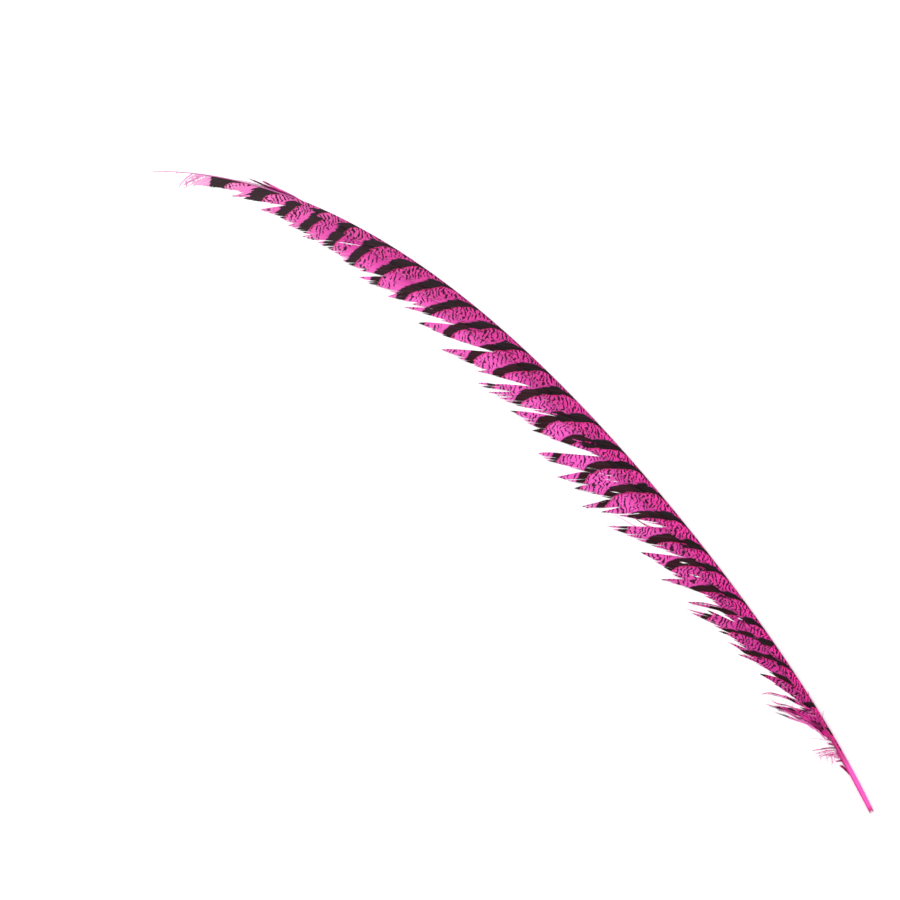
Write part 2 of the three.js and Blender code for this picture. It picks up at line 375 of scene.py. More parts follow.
def lay_lobe(lobe, after, root_share, rings, tip_length):
    """Centre lines of one lobe's barbs, and what the finish needs to know about them.

    The barb on the lobe's tip side leaves the shaft, bends at the foot of the split and ends at
    the lobe's point. The last barb ends at the foot of the next split. Roots, angles and ends
    of the others go evenly between, and the bend fades by a square. The ends are on the bowed
    margin: bow * 5.38 u (1-u)^1.5 beside the straight line, fullest towards the point, or
    hollow towards the foot. Towards its ends each strand gathers and moves aside.
    """
    point = np.array(lobe[:2])
    split = np.array(lobe[2:4])
    bow, fray = lobe[4:]
    after = np.array(after)
    root_high = split[0] - split[1] / math.tan(angle_at(split[0]))
    root_low = after[0] - after[1] / math.tan(angle_at(after[0]))
    slant = (angle_at(split[0]) + angle_at(after[0])) / 2
    margin_run = after - point
    fan = abs(margin_run[0] * math.sin(slant) - margin_run[1] * math.cos(slant))
    count = max(4, round((root_high - root_low) / ROOT_SPACING), round(fan / FAN_SPACING))
    share = (np.arange(count) + 0.5) / count
    root = root_high + (root_low - root_high) * share
    root_shares = (FIRST_ROOT_SHARE, root_share)
    root_out = np.interp(root, ROOTS_MOVE, root_shares) * thickness_at(root)
    ends = point + (after - point) * share[:, None]
    before, beyond = (share, 1 - share) if bow > 0 else (1 - share, share)
    ends[:, 1] += bow * BOW_SCALE * before * beyond**1.5
    leave_high = angle_between(root_high, root_out[0], *split)
    leave_low = angle_between(root_low, root_out[-1], *after)
    leave = leave_high + (leave_low - leave_high) * share
    arrive_high = angle_between(*split, *point)
    arrive = arrive_high + (leave_low - arrive_high) * share

    strand = draw_strands(count, fray)
    reach = np.linalg.norm(ends - np.stack([root, root_out], axis=1), axis=1)
    heading = np.stack([np.cos(arrive), np.sin(arrive)], axis=-1)
    ends = ends + heading * (strand["longer"] * np.minimum(reach / 20, 1))[:, None]

    taper = np.minimum(tip_length, 0.3 * reach) / reach
    steps = np.linspace(0, 1, rings - 1)
    along_barb = np.concatenate([steps * (1 - taper)[:, None], np.ones((count, 1))], axis=1)
    line = curve(np.stack([root, root_out], axis=1), leave, ends, arrive, along_barb)
    knee = smooth_line((root[0], root_out[0], *split, *ends[0]))
    bent = at_shares(knee, along_barb[0])
    line = line + (bent - line[0]) * (1 - share[:, None, None]) ** 2
    across = across_lines(line)
    beside = np.abs((np.gradient(line, axis=0) * across).sum(-1))

    loose = ease(0, 1, (along_barb - 1 + strand["deep"][:, None]) / strand["deep"][:, None])
    gather = strand["within"][:, None] * beside * strand["strand_size"] / 2
    shift = strand["aside"][:, None] * loose**2 * np.minimum(reach / 15, 1)[:, None]
    line = line - across * (shift + (0.3 + 0.5 * fray) * gather * loose)[..., None]
    strand.update(root=root, reach=reach)
    same_on_a_barb = ("root", "reach", "lift", "chance", "bar_shift")
    return {
        "line": line,
        "beside": beside * (1 - 0.25 * loose),
        "along_barb": along_barb,
        "loose": loose,
        **{key: np.repeat(strand[key][:, None], rings, axis=1) for key in same_on_a_barb},
    }


def lay_vane(lobes, end, root_share, rings, tip_length):
    """All the barbs of a vane, as one set of (barbs, rings) arrays from the tip down.

    root_share is how far inside the shaft the roots are, as a share of its thickness, and
    tip_length is the length of a barb's fine point.
    """
    afters = [lobe[2:4] for lobe in lobes[1:]] + [end]
    pairs = zip(lobes, afters)
    parts = [lay_lobe(lobe, after, root_share, rings, tip_length) for lobe, after in pairs]
    return {key: np.concatenate([part[key] for part in parts]) for key in parts[0]}


def part_barbs(line, slits, open_ended):
    """Pushes the barbs away from each slit on both sides.

    The push is greatest at the middle of a closed slit and at the outer end of an open one.
    """
    for outer_along, outer_out, inner_along, inner_out, width in slits:
        inner = np.array([inner_along, inner_out])
        run = np.array([outer_along, outer_out]) - inner
        length = np.linalg.norm(run)
        run = run / length
        side = np.array([-run[1], run[0]])
        share = ((line - inner) @ run) / length
        beside = (line - inner) @ side
        farthest = 0.5 if open_ended else 1
        open_here = np.sin(np.pi * np.clip(share * farthest, 0, farthest)) ** 0.7
        push = width * open_here * np.exp(-np.abs(beside) / SLIT_REACH)
        line = line + side * (np.where(beside > 0, 1, -1) * push)[..., None]
    return line


# ---- where the finish lies


def hug_share(along, away):
    """How much of the hug in the table a bar has at a place.

    It is less towards the feather's two ends, and a little off where barbs are ruffled.
    """
    base = 0.3 + 0.7 * ease(98, 116, along)
    tip_half = (1 - 0.35 * ease(585, 620, along)) * (1 - 0.9 * ease(722, 742, along))
    first_web = window((104, 114), (124, 138), along) * window((2, 4.5), (6, 11), away)
    outer_base = ease(195, 180, along) * ease(9, 18, away)
    beside_shaft = window((138, 146), (150, 176), along) * ease(3.5, 1.5, away)
    ruffled = (1 + 0.25 * first_web) * (1 - 0.3 * outer_base) * (1 - 0.28 * beside_shaft)
    return base * tip_half * ruffled


def bar_edges(along, away):
    """How far up the shaft a bar's basal edge and tip edge are from its place in the table.

    Both edges hug the shaft: they run further down it the nearer they are to it. The tip edge
    is a bar's thickness further on. Single bars lean or spread a little where barbs are
    ruffled, and the two last ones also run down beside the shaft with their basal edge.
    """
    basal = -np.interp(away, HUG_AT, HUG) * hug_share(along, away)
    basal = basal - 1.8 * ease(580, 600, along) * ease(14, 26, away)
    basal = basal - 2 * window((576, 588), (608, 618), along) * ease(24, 30, away)
    lean = ease(17, 24, away) * (1 - ease(25, 28, away) * ease(196, 200, along))
    basal = basal + 4 * lean * window((150, 160), (205, 215), along)
    slimmer = 0.2 * ease(280, 200, along) + 0.16 * ease(215, 190, along) * ease(6, 10, away)
    thick = np.interp(away, THICKNESS_AT, BAR_THICKNESS) * (1 - slimmer)
    tip = basal + thick + (LAST_BAR_THICKNESS - thick) * ease(699, 711, along)
    tip = tip + 2.5 * window((402, 408), (420, 428), along) * ease(26, 31, away)
    basal = basal - 5 * window((690, 698), (706, 714), along) * ease(5.5, 1, away)
    basal = basal - 4.5 * ease(726, 734, along) * ease(6.5, 1, away)
    return basal, tip


def bar_numbers(along, out, bars, shift):
    """Numbers of the bars at a place, as the basal edge and the tip edge see them.

    The first bar is number 0. A place is inside a bar where a whole number lies between the
    two, and beyond the first and last bar the numbers never get to the next whole one.
    """
    basal, tip = bar_edges(along, np.clip(out, 0, None))
    number = np.arange(len(bars))
    gap = 0.9 * BAR_PITCH
    places = np.concatenate([[FAR_OFF[0], bars[0] - gap], bars, [bars[-1] + gap, FAR_OFF[1]]])
    numbers = np.concatenate([[-0.95, -0.9], number, [number[-1] + 0.9, number[-1] + 0.95]])
    at_basal = np.interp(along + shift - basal, places, numbers)
    at_tip = np.interp(along + shift - tip, places, numbers)
    return at_basal, at_tip


def grain(vane):
    """Grain coordinates: length along the barbs, and the running width across them.

    Both are running sums from barb to barb, so that the grain passes from each to the next:
    along the shaft a step counts its cosine to the first and its sine to the second.
    """
    root = vane["root"][:, 0]
    table = np.arange(LENGTH)
    run = np.cumsum(np.cos(angle_at(table)))
    rise = np.cumsum(np.sin(angle_at(table)))
    line = vane["line"]
    steps = np.linalg.norm(np.diff(line, axis=1), axis=-1)
    length = np.concatenate([np.zeros((len(line), 1)), np.cumsum(steps, axis=1)], axis=1)
    lengthwise = np.interp(root, table, run)[:, None] + length
    across = np.repeat(np.interp(root, table, rise)[:, None], line.shape[1], axis=1)
    return lengthwise - 4 * np.exp(-np.clip(line[..., 1], 0, None) / 5), across


def finish_places(vane, bars, other_bars):
    """Attributes of a vane: its bars, the other vane's for the painted shade, grain, the place on the
    barb.
    """
    line = vane["line"]
    along, out = line[..., 0], line[..., 1]
    at_basal, at_tip = bar_numbers(along, out, bars, vane["bar_shift"])
    other_basal, other_tip = bar_numbers(along, out, other_bars, 0)
    lengthwise, across = grain(vane)
    zero = 0 * along
    return {
        "bars": np.stack([at_basal, at_tip, vane["chance"]], axis=-1),
        "under": np.stack([other_basal, other_tip, zero], axis=-1),
        "grain": np.stack([lengthwise, across, along], axis=-1),
        "barb": np.stack([vane["along_barb"], out, zero], axis=-1),
    }


# ---- shader maths


class Wire:
    """A socket in shader maths. An expression on wires and numbers adds its Math nodes."""

    def __init__(self, paint, socket):
        self.paint = paint
        self.socket = socket

    def __add__(self, other):
        return self.paint.maths("ADD", self, other)

    __radd__ = __add__

    def __sub__(self, other):
        return self.paint.maths("SUBTRACT", self, other)

    def __rsub__(self, other):
        return self.paint.maths("SUBTRACT", other, self)

    def __mul__(self, other):
        return self.paint.maths("MULTIPLY", self, other)


class Paint:
    """One material and the nodes that it is made of."""

    def __init__(self, name):
        self.material = bpy.data.materials.new(name)
        self.material.use_nodes = True
        self.tree = self.material.node_tree
        self.tree.nodes.clear()

    def node(self, kind, settings, inputs, output=0):
        """Adds a node: its settings first, then its inputs as values, colour codes or wires."""
        made = self.tree.nodes.new("ShaderNode" + kind)
        for title, value in settings.items():
            if title == "stops":
                while len(made.color_ramp.elements) < len(value):
                    made.color_ramp.elements.new(1)
                for element, (position, code) in zip(made.color_ramp.elements, value):
                    element.position = position
                    element.color = dye(code)
            else:
                setattr(made, title, value)
        for title, value in inputs.items():
            if isinstance(value, Wire):
                self.tree.links.new(value.socket, made.inputs[title])
            elif isinstance(value, str):
                made.inputs[title].default_value = dye(value)
            else:
                made.inputs[title].default_value = value
        return Wire(self, made.outputs[output])

    def attribute(self, title):
        """The three numbers of a mesh attribute."""
        vector = self.node("Attribute", {"attribute_name": title}, {}, "Vector")
        return [self.node("SeparateXYZ", {}, {0: vector}, axis) for axis in range(3)]

    def maths(self, operation, *values):
        """A Math node: FLOOR, EXPONENT or SINE of a value, or a sum or product of two."""
        return self.node("Math", {"operation": operation}, dict(enumerate(values)))

    def ramp(self, value, low, high, start=0, end=1):
        """Goes smoothly from start to end while the value goes from low to high."""
        settings = {"interpolation_type": "SMOOTHSTEP"}
        return self.node("MapRange", settings, {0: value, 1: low, 2: high, 3: start, 4: end})

    def noise(self, x, y, z, detail):
        """Noise from 0 to 1 over a place given by three values."""
        place_here = self.node("CombineXYZ", {}, {0: x, 1: y, 2: z})
        values = {"Vector": place_here, "Scale": 1, "Detail": detail}
        return self.node("TexNoise", {}, values)

    def mix(self, first, second, share):
        """From the first colour to the second by a share."""
        return self.node("Mix", {"data_type": "RGBA"}, {0: share, 6: first, 7: second}, 2)

    def scale_colour(self, colour, factor):
        """A colour times a number."""
        return self.node("VectorMath", {"operation": "SCALE"}, {0: colour, "Scale": factor})

    def by_place(self, value, stops):
        """A colour from a ramp whose stops are (position, colour code)."""
        return self.node("ValToRGB", {"stops": stops}, {0: value})

    def surface(self, colour, roughness, specular, bump=None, coat=()):
        """The surface shader, with a bump of (height, strength, distance) and a coat."""
        values = {"Base Color": colour, "Roughness": roughness, "Specular IOR Level": specular}
        values.update(coat)
        if bump is not None:
            height, strength, distance = bump
            bumps = {"Height": height, "Strength": strength, "Distance": distance}
            values["Normal"] = self.node("Bump", {}, bumps)
        shader = self.node("BsdfPrincipled", {}, values)
        output = self.tree.nodes.new("ShaderNodeOutputMaterial")
        self.tree.links.new(shader.socket, output.inputs["Surface"])
        return self.material


LIGHT_LEVEL = 1.16  # brightness of a white sheet under the studio light


def dye(code):
    """A screen colour such as "#F05BC0" as the linear paint that looks like it in the light."""
    channels = [int(code[start : start + 2], 16) / 255 for start in (1, 3, 5)]
    linear = [((c + 0.055) / 1.055) ** 2.4 if c > 0.04 else c / 12.92 for c in channels]
    return (*[min(value / LIGHT_LEVEL, 1) for value in linear], 1)


# ---- finishes


def bar_masks(paint, at_basal, at_tip, out, lengthwise, across, seed):
    """Masks of a set of bars: inside, just basal of one, just tipward of one, and past one."""
    teeth = paint.noise(across * 0.75, lengthwise * 0.06, seed, 2) - 0.5
    near_shaft = paint.maths("EXPONENT", out * -0.12)
    basal = at_basal + teeth * (0.7 / BAR_PITCH)
    tip = at_tip + teeth * ((near_shaft * 11 + 1.6) * (1 / BAR_PITCH))
    number = paint.maths("FLOOR", basal)
    past_basal = (basal - number) * BAR_PITCH
    before_tip = (number - tip) * BAR_PITCH
    bar = paint.ramp(past_basal, 0, 0.35) * paint.ramp(before_tip, -0.2, 0.4)
    thin = 0.9 - near_shaft * 0.6
    red_line = paint.ramp(past_basal + thin, BAR_PITCH - 0.3, BAR_PITCH + 0.1)
    blue_line = paint.ramp(before_tip, -1, -0.2) * paint.ramp(before_tip, 0.2, -0.2)
    past = before_tip * -1
    return bar, red_line, blue_line, past


STROKE_PITCH = 3.5  # from one fine stroke to the next, along the barb


def wavy_strokes(paint, lengthwise, across, along, out, past, chance, seed, chop):
    """Broken wavy strokes across the barbs, left out of a plain band just past each bar.

    The plain band is broadest in the outer part of the tip half, and the tip has no strokes.
    chop is how much the strokes break up into specks.
    """
    sway = paint.noise(across * 0.2, lengthwise * 0.1, seed, 2) - 0.5
    turn = lengthwise * (2 * math.pi / STROKE_PITCH) + sway * 23
    broken = paint.noise(across * 0.26, lengthwise * 0.5, seed + 7, 2) - 0.5
    level = paint.maths("SINE", turn) * 0.6 + broken * chop + (chance - 0.5) * 0.3
    fewer = paint.ramp(out, 7, 20) * paint.ramp(along, 200, 620, 0.03, 0.22)
    strokes = paint.ramp(level - fewer, 0.08, 0.34)
    away = 1 - paint.maths("EXPONENT", out * -0.09) * paint.ramp(along, 695, 722, 1, 0.1)
    breadth = paint.ramp(along, 430, 620, 1.6, 6.4)
    plain = paint.ramp(past - away * breadth, -1, 0.8)
    return strokes * plain * paint.ramp(along, 757, 750)


def barb_finish(name, pinks, darks, stroke_dark, seed, shade_under, painted_sheen_share):
    """Dyed barbs: pink by place along the feather, dark strokes, bars with a red basal line.

    shade_under is how much painted shade of the other vane's bars, seen as if through from
    behind, darkens this one, zero for the far vane, and painted_sheen_share is how much painted
    blue-grey sheen the bars get in patches at their basal side.
    """
    paint = Paint(name)
    at_basal, at_tip, chance = paint.attribute("bars")
    lengthwise, across, along = paint.attribute("grain")
    along_barb, out, _ = paint.attribute("barb")
    where = along * (1 / LENGTH)

    masks = bar_masks(paint, at_basal, at_tip, out, lengthwise, across, seed)
    bar, red_line, blue_line, past = masks
    chop = 3.9 if shade_under else 2.4
    strokes = wavy_strokes(paint, lengthwise, across, along, out, past, chance, seed + 3, chop)
    pink = paint.by_place(where, pinks)
    patch = paint.noise(across * 0.09, lengthwise * 0.05, seed + 11, 2)
    value = (chance - 0.5) * 0.16 + (patch - 0.5) * 0.35 + 1
    pink = paint.scale_colour(pink, value)
    if shade_under:
        pink = paint.mix(pink, "#EC58B0", paint.ramp(along_barb, 0.5, 1) * 0.6)
    else:
        inner = paint.ramp(out, 27, 14) * paint.ramp(along, 730, 620)
        pink = paint.mix(pink, "#D6389A", inner * 0.8)
    pale_tip = paint.ramp(along_barb, 0.88, 1) * 0.3
    pink = paint.mix(pink, "#FBB4E2", pale_tip)
    if shade_under:
        # painted shade: the other vane's bars and strokes show through from behind as deeper pink
        under_basal, under_tip, _ = paint.attribute("under")
        through_bar_shade, _, _, through_bar_past = bar_masks(
            paint, under_basal, under_tip, out, lengthwise, across, seed + 20
        )
        through_stroke_shade = wavy_strokes(
            paint, lengthwise + 1.2, across + 40, along, out, through_bar_past, chance,
            seed + 31, chop
        )
        reach = paint.ramp(out, 4, 9)
        below = through_bar_shade * reach * shade_under + through_stroke_shade * 0.3
        # the painted see-through shade, mixed in as a deep pink
        pink = paint.mix(pink, "#6E1C48", paint.ramp(below, 0, 1))
    toned = paint.mix(pink, stroke_dark, strokes * 0.95)
    toned = paint.mix(toned, "#D0104E", red_line * 0.6)
    toned = paint.mix(toned, "#7B2C86", blue_line * 0.3)
    dark = paint.by_place(where, darks)
    streak = paint.ramp(chance, 0.6, 1) * 0.22
    dark = paint.mix(dark, "#5A4650", streak)
    # painted sheen: the dark bars turn blue-grey in patches, as their gloss looks in the light
    painted_sheen_patch = paint.ramp(past, -5, -1) * paint.ramp(patch, 0.35, 0.6) * painted_sheen_share
    dark = paint.mix(dark, "#1B2229", painted_sheen_patch)
    colour = paint.mix(toned, dark, bar)
    ridges = paint.maths("SINE", lengthwise * 9) * 0.5 + 0.5
    roughness = 0.62 + bar * -0.12
    return paint.surface(colour, roughness, 0.12, (ridges, 0.15, 0.0001))


# Pinks of the horn along its length: the lit top, and the sides with painted shade
HORN_LIT_TOP = (
    (0, "#F65CC2"), (0.045, "#F85CC8"), (0.062, "#DE4498"), (0.078, "#E62C90"),
    (0.14, "#CC2480"), (0.6, "#B8357E"), (0.86, "#C56AA8"), (1, "#EBA8CF"),
)
HORN_SHADED_SIDES = (
    (0, "#EE2898"), (0.05, "#D42484"), (0.07, "#B01E6C"), (0.14, "#A81E66"), (0.5, "#8A3070"),
    (0.86, "#9A4A86"), (1, "#D883B8"),
)


def horn_finish():
    """Dyed horn: glossy pink, with painted shade deepening the sides and a painted dark line of shade
    in the groove, and a redder cut end.
    """
    paint = Paint("dyed_horn")
    groove, side, along = paint.attribute("horn")
    streak = paint.noise(along * 0.035, side * 3.2, 3, 3)
    where = along * (1 / LENGTH)
    light = paint.by_place(where, HORN_LIT_TOP)
    deep = paint.by_place(where, HORN_SHADED_SIDES)
    # painted shade: the sides of the round shaft turn to the deeper, shaded pink
    colour = paint.mix(light, deep, paint.ramp(side + (streak - 0.5) * 1.3, 0.1, 0.9))
    # painted shade: a dark line in the groove and along the furrow
    colour = paint.mix(colour, "#86104C", groove)
    stain = paint.ramp(along + (streak - 0.5) * 8, 7.5, 1.5)
    colour = paint.mix(colour, "#C4185E", stain * 0.7)
    height = paint.noise(along * 0.2, side * 14, 9, 2)
    coat = {"Coat Weight": 0.05, "Coat Roughness": 0.25}
    return paint.surface(colour, streak * 0.15 + 0.34, 0.28, (height, 0.2, 0.0002), coat)


def down_finish():
    """Soft fibres from deep to pale pink, with dark stretches."""
    paint = Paint("dyed_down")
    pale, chance, darkness = paint.attribute("fibre")
    colour = paint.mix("#EC1E98", "#FA9CDA", paint.ramp(pale + chance * 0.3, 0.1, 1.1))
    colour = paint.mix(colour, "#2A0716", darkness)
    return paint.surface(colour, 0.75, 0.12)


def floor_finish():
    """A plain matt white floor with the faintest mottle."""
    paint = Paint("studio_floor")
    place_here = paint.node("TexCoord", {}, {}, "Object")
    values = {"Vector": place_here, "Scale": 3, "Detail": 2}
    mottle = paint.node("TexNoise", {}, values)
    colour = paint.mix((0.93, 0.93, 0.93, 1), (0.95, 0.95, 0.95, 1), mottle)
    return paint.surface(colour, 0.9, 0.1)


# ---- pieces


SHAFT_SIDES = 40
GROOVE_ANGLE = math.radians(57)  # around the shaft, from its inner side upwards
GROOVE_WIDTH = 0.24  # radians, as the furrow's
# The furrow is not in the shape: it is only painted as a line of shade
FURROW_ANGLE = math.radians(112)
FURROW_WIDTH = 0.22


def build_shaft():
    """The shaft: rings up the bore, over the notched rim, and on to the tip.

    A ring is a circle of the shaft's thickness that rests on the surface, drawn in at the
    angle of the groove by a bell curve. The rim is cut back by the square of the sine, and the
    cut fades out over the first rings. The furrow of the bare part is only a darker line of
    painted shade, and the groove gets a painted line of shade as well.
    """
    sides = SHAFT_SIDES
    angle = (np.arange(sides) + 0.5) * 2 * np.pi / sides
    near_rim = np.linspace(0.6, 14, 14)
    body = np.linspace(16, LENGTH, 260)
    whole = np.ones(len(near_rim) + len(body))
    along = np.concatenate([[BORE_DEPTH, 9, 4, 0, 0, 0], near_rim, body])[:, None]
    share = np.concatenate([[0.2, BORE, BORE, BORE, 0.93, 1], whole])[:, None]
    cut = np.concatenate([[0, 0, 0.5, 1, 1, 1], np.exp(-near_rim / NOTCH_FADE), 0 * body])[:, None]
    radius = thickness_at(along) / 2
    bell = np.exp(-(((angle - GROOVE_ANGLE) / GROOVE_WIDTH) ** 2)) * ease(44, 66, along)
    bare = window((44, 54), (120, 150), along)
    furrow = np.exp(-(((angle - FURROW_ANGLE) / FURROW_WIDTH) ** 2)) * bare
    reach = radius * share * (1 - 0.2 * bell)
    ring_along = along + cut * NOTCH * np.sin(angle) ** 2
    points = place(ring_along, radius + reach * np.cos(angle), radius + reach * np.sin(angle))
    rings = len(along)
    first = np.arange(rings - 1)[:, None] * sides + np.arange(sides)
    after = np.arange(rings - 1)[:, None] * sides + (np.arange(sides) + 1) % sides
    faces = np.stack([first, after, after + sides, first + sides], axis=-1).reshape(-1, 4).tolist()
    faces.append(list(range(sides))[::-1])
    faces.append([(rings - 1) * sides + side for side in range(sides)])
    # Painted shade on the horn: deeper on the outer and inner sides, dark lines in the groove and the
    # furrow
    webbed = ease(40, 100, along)
    outer_side_shade = ease(-0.2, 0.9, -np.cos(angle)) * webbed
    inner_side_shade = ease(0.1, 1.0, np.cos(angle)) * (1 - 0.4 * webbed)
    zero = 0 * ring_along
    # painted shade in the groove and the furrow
    groove_shade_lines = zero + np.maximum(bell * 0.95, furrow * 0.7)
    horn = np.stack([groove_shade_lines, zero + outer_side_shade + inner_side_shade, ring_along], axis=-1)
    new_piece("shaft_horn", points, faces, {"horn": horn}, horn_finish(), "horn", "shaft")


FAR_HEIGHT = 0.28  # of the far barbs where they lie on the surface
FAR_SETTLE_RUN = 7  # the length in which they come down to it
NEAR_HEIGHT = 1.05  # of the near vane's margin on the far vane
NEAR_SLOPE_RUN = 13  # the distance from the shaft where the near vane gets there


def far_heights(vane):
    """Far barbs: from the shaft's side down to the surface, their loose ends lifting a little."""
    line = vane["line"]
    root_height = 0.3 * thickness_at(vane["root"])
    settle = np.exp(-vane["along_barb"] * vane["reach"] / FAR_SETTLE_RUN)
    free = ease(8, 34, line[..., 1]) * vane["loose"]
    curl = ease(0.45, 1.0, vane["along_barb"]) * ease(14, 50, line[..., 1])
    lift = vane["lift"] * (0.9 * free + 1.6 * curl)
    return FAR_HEIGHT + (root_height - FAR_HEIGHT) * settle + lift + 0.06 * vane["chance"]


def near_heights(vane):
    """Near barbs: over the top of the shaft, then sloping down to just above the far vane."""
    line = vane["line"]
    margin = NEAR_HEIGHT + 0.5 * vane["lift"] * vane["loose"]
    thickness = thickness_at(vane["root"])
    slope = 1 - ease(0, NEAR_SLOPE_RUN, line[..., 1] - 0.5 * thickness)
    dome = 0.7 * np.sin(np.pi * vane["along_barb"]) * np.minimum(vane["reach"] / 25, 1)
    lying = margin + (thickness + 0.1 - margin) * slope + dome
    return np.maximum(lying, shaft_top(line[..., 0], line[..., 1]) + 0.1) + 0.05 * vane["chance"]


BLADE_OVERLAP = 1.5  # a barb's width over the distance to the next one
BLADE_WIDTHS = (0.16, 1.0)  # the least and the most
BLADE_DEPTH = 0.13


def build_vane(name, vane, heights, bars, other_bars, material, slot, node):
    """A vane as closed blades on the barbs' centre lines, tapered to fine points."""
    line = vane["line"]
    taper = np.ones(line.shape[1])
    taper[-2:] = (0.8, 0.12)
    widths = np.clip(vane["beside"] * BLADE_OVERLAP, *BLADE_WIDTHS) * taper
    depths = np.full(widths.shape, BLADE_DEPTH) * (0.4 + 0.6 * taper)
    points, faces = blades(place(line[..., 0], line[..., 1], heights), widths, depths)
    attributes = {
        title: over_corners(values)
        for title, values in finish_places(vane, bars, other_bars).items()
    }
    new_piece(name, points, faces, attributes, material, slot, node)


WISP_RINGS = 18
FIBRE_DEPTH = 0.2  # the most


def build_wisps(name, wisps, slot, *nodes):
    """Wisps of loose barbs. A row holds the wisp's places, the number of its fibres, its
    width at the root and at the end, the thickness of a fibre, the height of its end, how wavy
    it is, how pale, and its dark stretches: two shares of its length, and how dark.

    A fibre stays at its own share of the wisp's width and swings to both sides of that by a
    sum of two sines. Fibres end at different lengths.
    """
    lines, widths, heights, fibres = [], [], [], []
    for places, count, root_width, end_width, thick, rise, wave, pale, *stretches in wisps:
        ends = DRAWS.uniform(0.72 if count > 2 else 0.98, 1, count)
        share = np.linspace(0, 1, WISP_RINGS) * ends[:, None]
        line = at_shares(smooth_line(places), share)
        side = DRAWS.uniform(-0.5, 0.5, (count, 1))
        spread = side * (root_width + (end_width - root_width) * share)
        phase = DRAWS.uniform(0, 2 * np.pi, (2, count, 1))
        long_swing = np.sin(share * 9 + phase[0])
        short_swing = np.sin(share * 23 + phase[1])
        swing = wave * ease(0, 0.4, share) * (0.65 * long_swing + 0.35 * short_swing)
        lines.append(line + across_lines(line) * (spread + swing)[..., None])
        widths.append(thick * (1 - 0.6 * (share / ends[:, None]) ** 2))
        start = 0.55 * thickness_at(line[:, :1, 0])
        low = 0.35 + DRAWS.uniform(0, 0.4, (count, 1))
        settled = start + (low - start) * ease(0, 0.35, share)
        heights.append(settled + rise * ease(0.2, 1, share) * (0.7 + 0.3 * long_swing))
        dark = sum(
            ease(-0.04, 0.03, share - begin) * ease(-0.04, 0.03, stop - share) * strength
            for begin, stop, strength in stretches
        ) + 0 * share
        patchy = DRAWS.uniform(0.55, 1.1, (count, 1))
        chance = 0 * share + DRAWS.uniform(-1, 1, (count, 1))
        fibres.append(np.stack([pale + 0 * share, chance, np.clip(dark * patchy, 0, 1)], axis=-1))
    line, widths, heights = (np.concatenate(part) for part in (lines, widths, heights))
    depths = np.minimum(widths, FIBRE_DEPTH)
    points, faces = blades(place(line[..., 0], line[..., 1], heights), widths, depths)
    fibre = {"fibre": over_corners(np.concatenate(fibres))}
    new_piece(name, points, faces, fibre, down_finish(), slot, *nodes)


